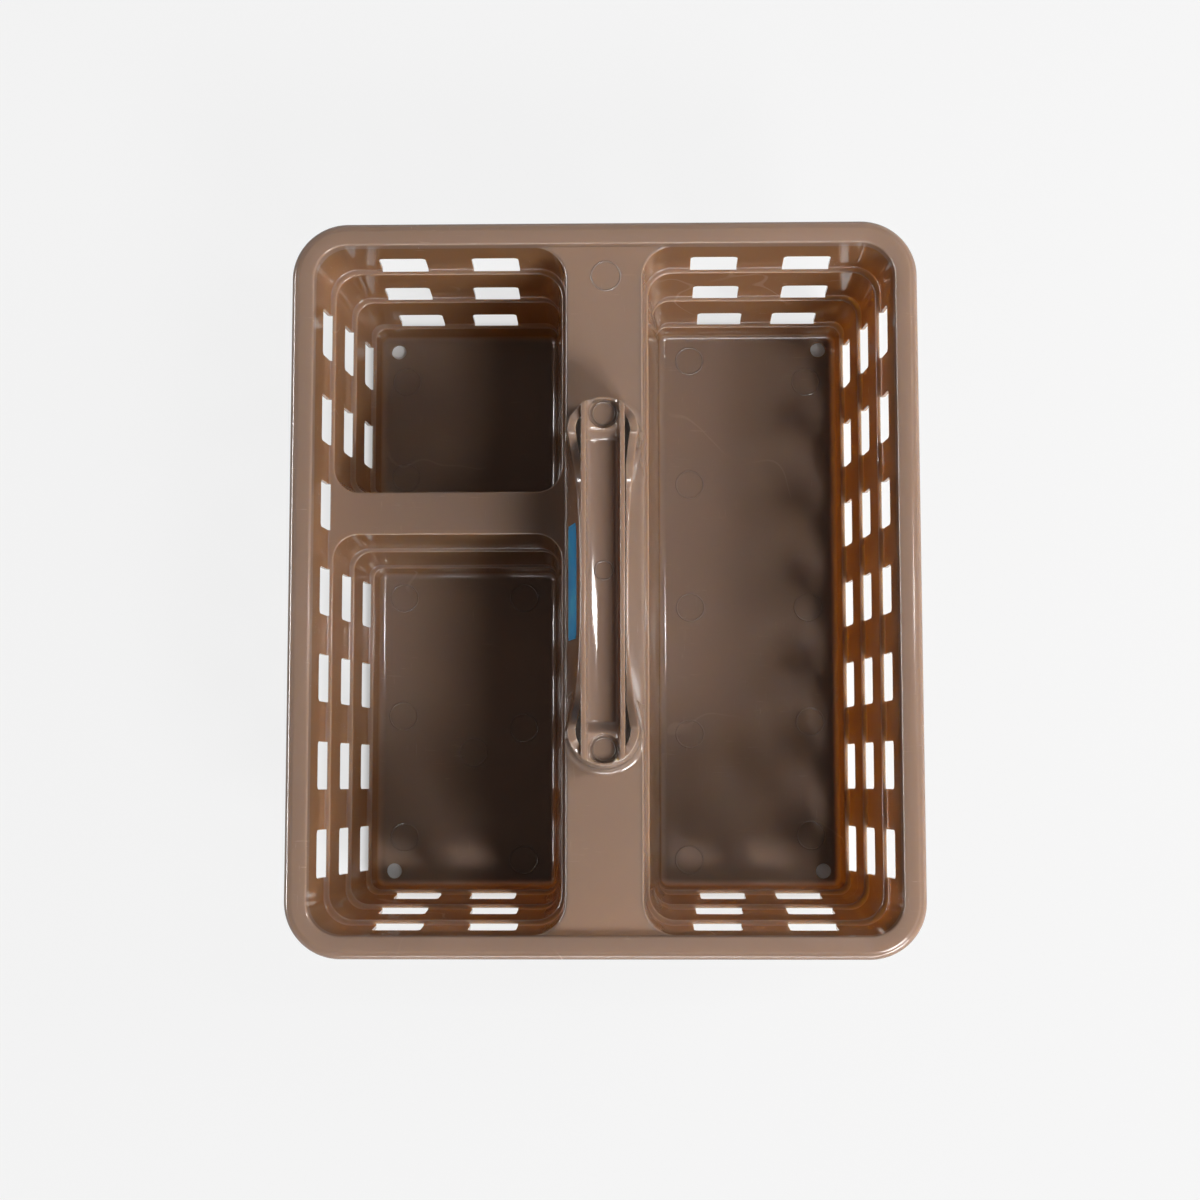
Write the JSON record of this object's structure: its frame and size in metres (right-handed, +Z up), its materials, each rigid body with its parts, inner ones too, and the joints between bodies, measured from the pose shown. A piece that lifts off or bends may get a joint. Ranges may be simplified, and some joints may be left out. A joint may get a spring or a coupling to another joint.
{
  "type": "cleaning caddy",
  "caption": "Open moulded plastic cleaning caddy with stepped, windowed compartments and a fixed carrying handle on a raised central spine.",
  "frame": {"origin": "centre of the resting face, under the middle of the handle", "axes": "+X to the side of the single long compartment, +Y along the handle to the end with the small compartment, +Z up"},
  "size_m": [0.28, 0.327, 0.1415],
  "materials": {
    "moulding": "glossy, slightly translucent polypropylene with scuffs",
    "label": "satin adhesive film"
  },
  "bodies": {
    "root": {"rim": "moulding", "right_floor": "moulding", "right_side_wall": "moulding", "right_rear_wall": "moulding", "right_front_wall": "moulding", "right_spine_wall": "moulding", "rear_left_floor": "moulding", "rear_left_spine_wall": "moulding", "rear_left_side_wall": "moulding", "rear_left_end_wall": "moulding", "divider_rear_wall": "moulding", "front_left_floor": "moulding", "front_left_spine_wall": "moulding", "front_left_side_wall": "moulding", "divider_front_wall": "moulding", "front_left_end_wall": "moulding", "divider_deck": "moulding", "left_side_upper_wall": "moulding", "left_rear_upper_wall": "moulding", "left_front_upper_wall": "moulding", "left_spine_ledge": "moulding", "right_flank": "moulding", "left_flank": "moulding", "rear_deck": "moulding", "front_deck": "moulding", "rear_post": "moulding", "front_post": "moulding", "grip": "moulding", "label": "label"}
  },
  "joints": []
}
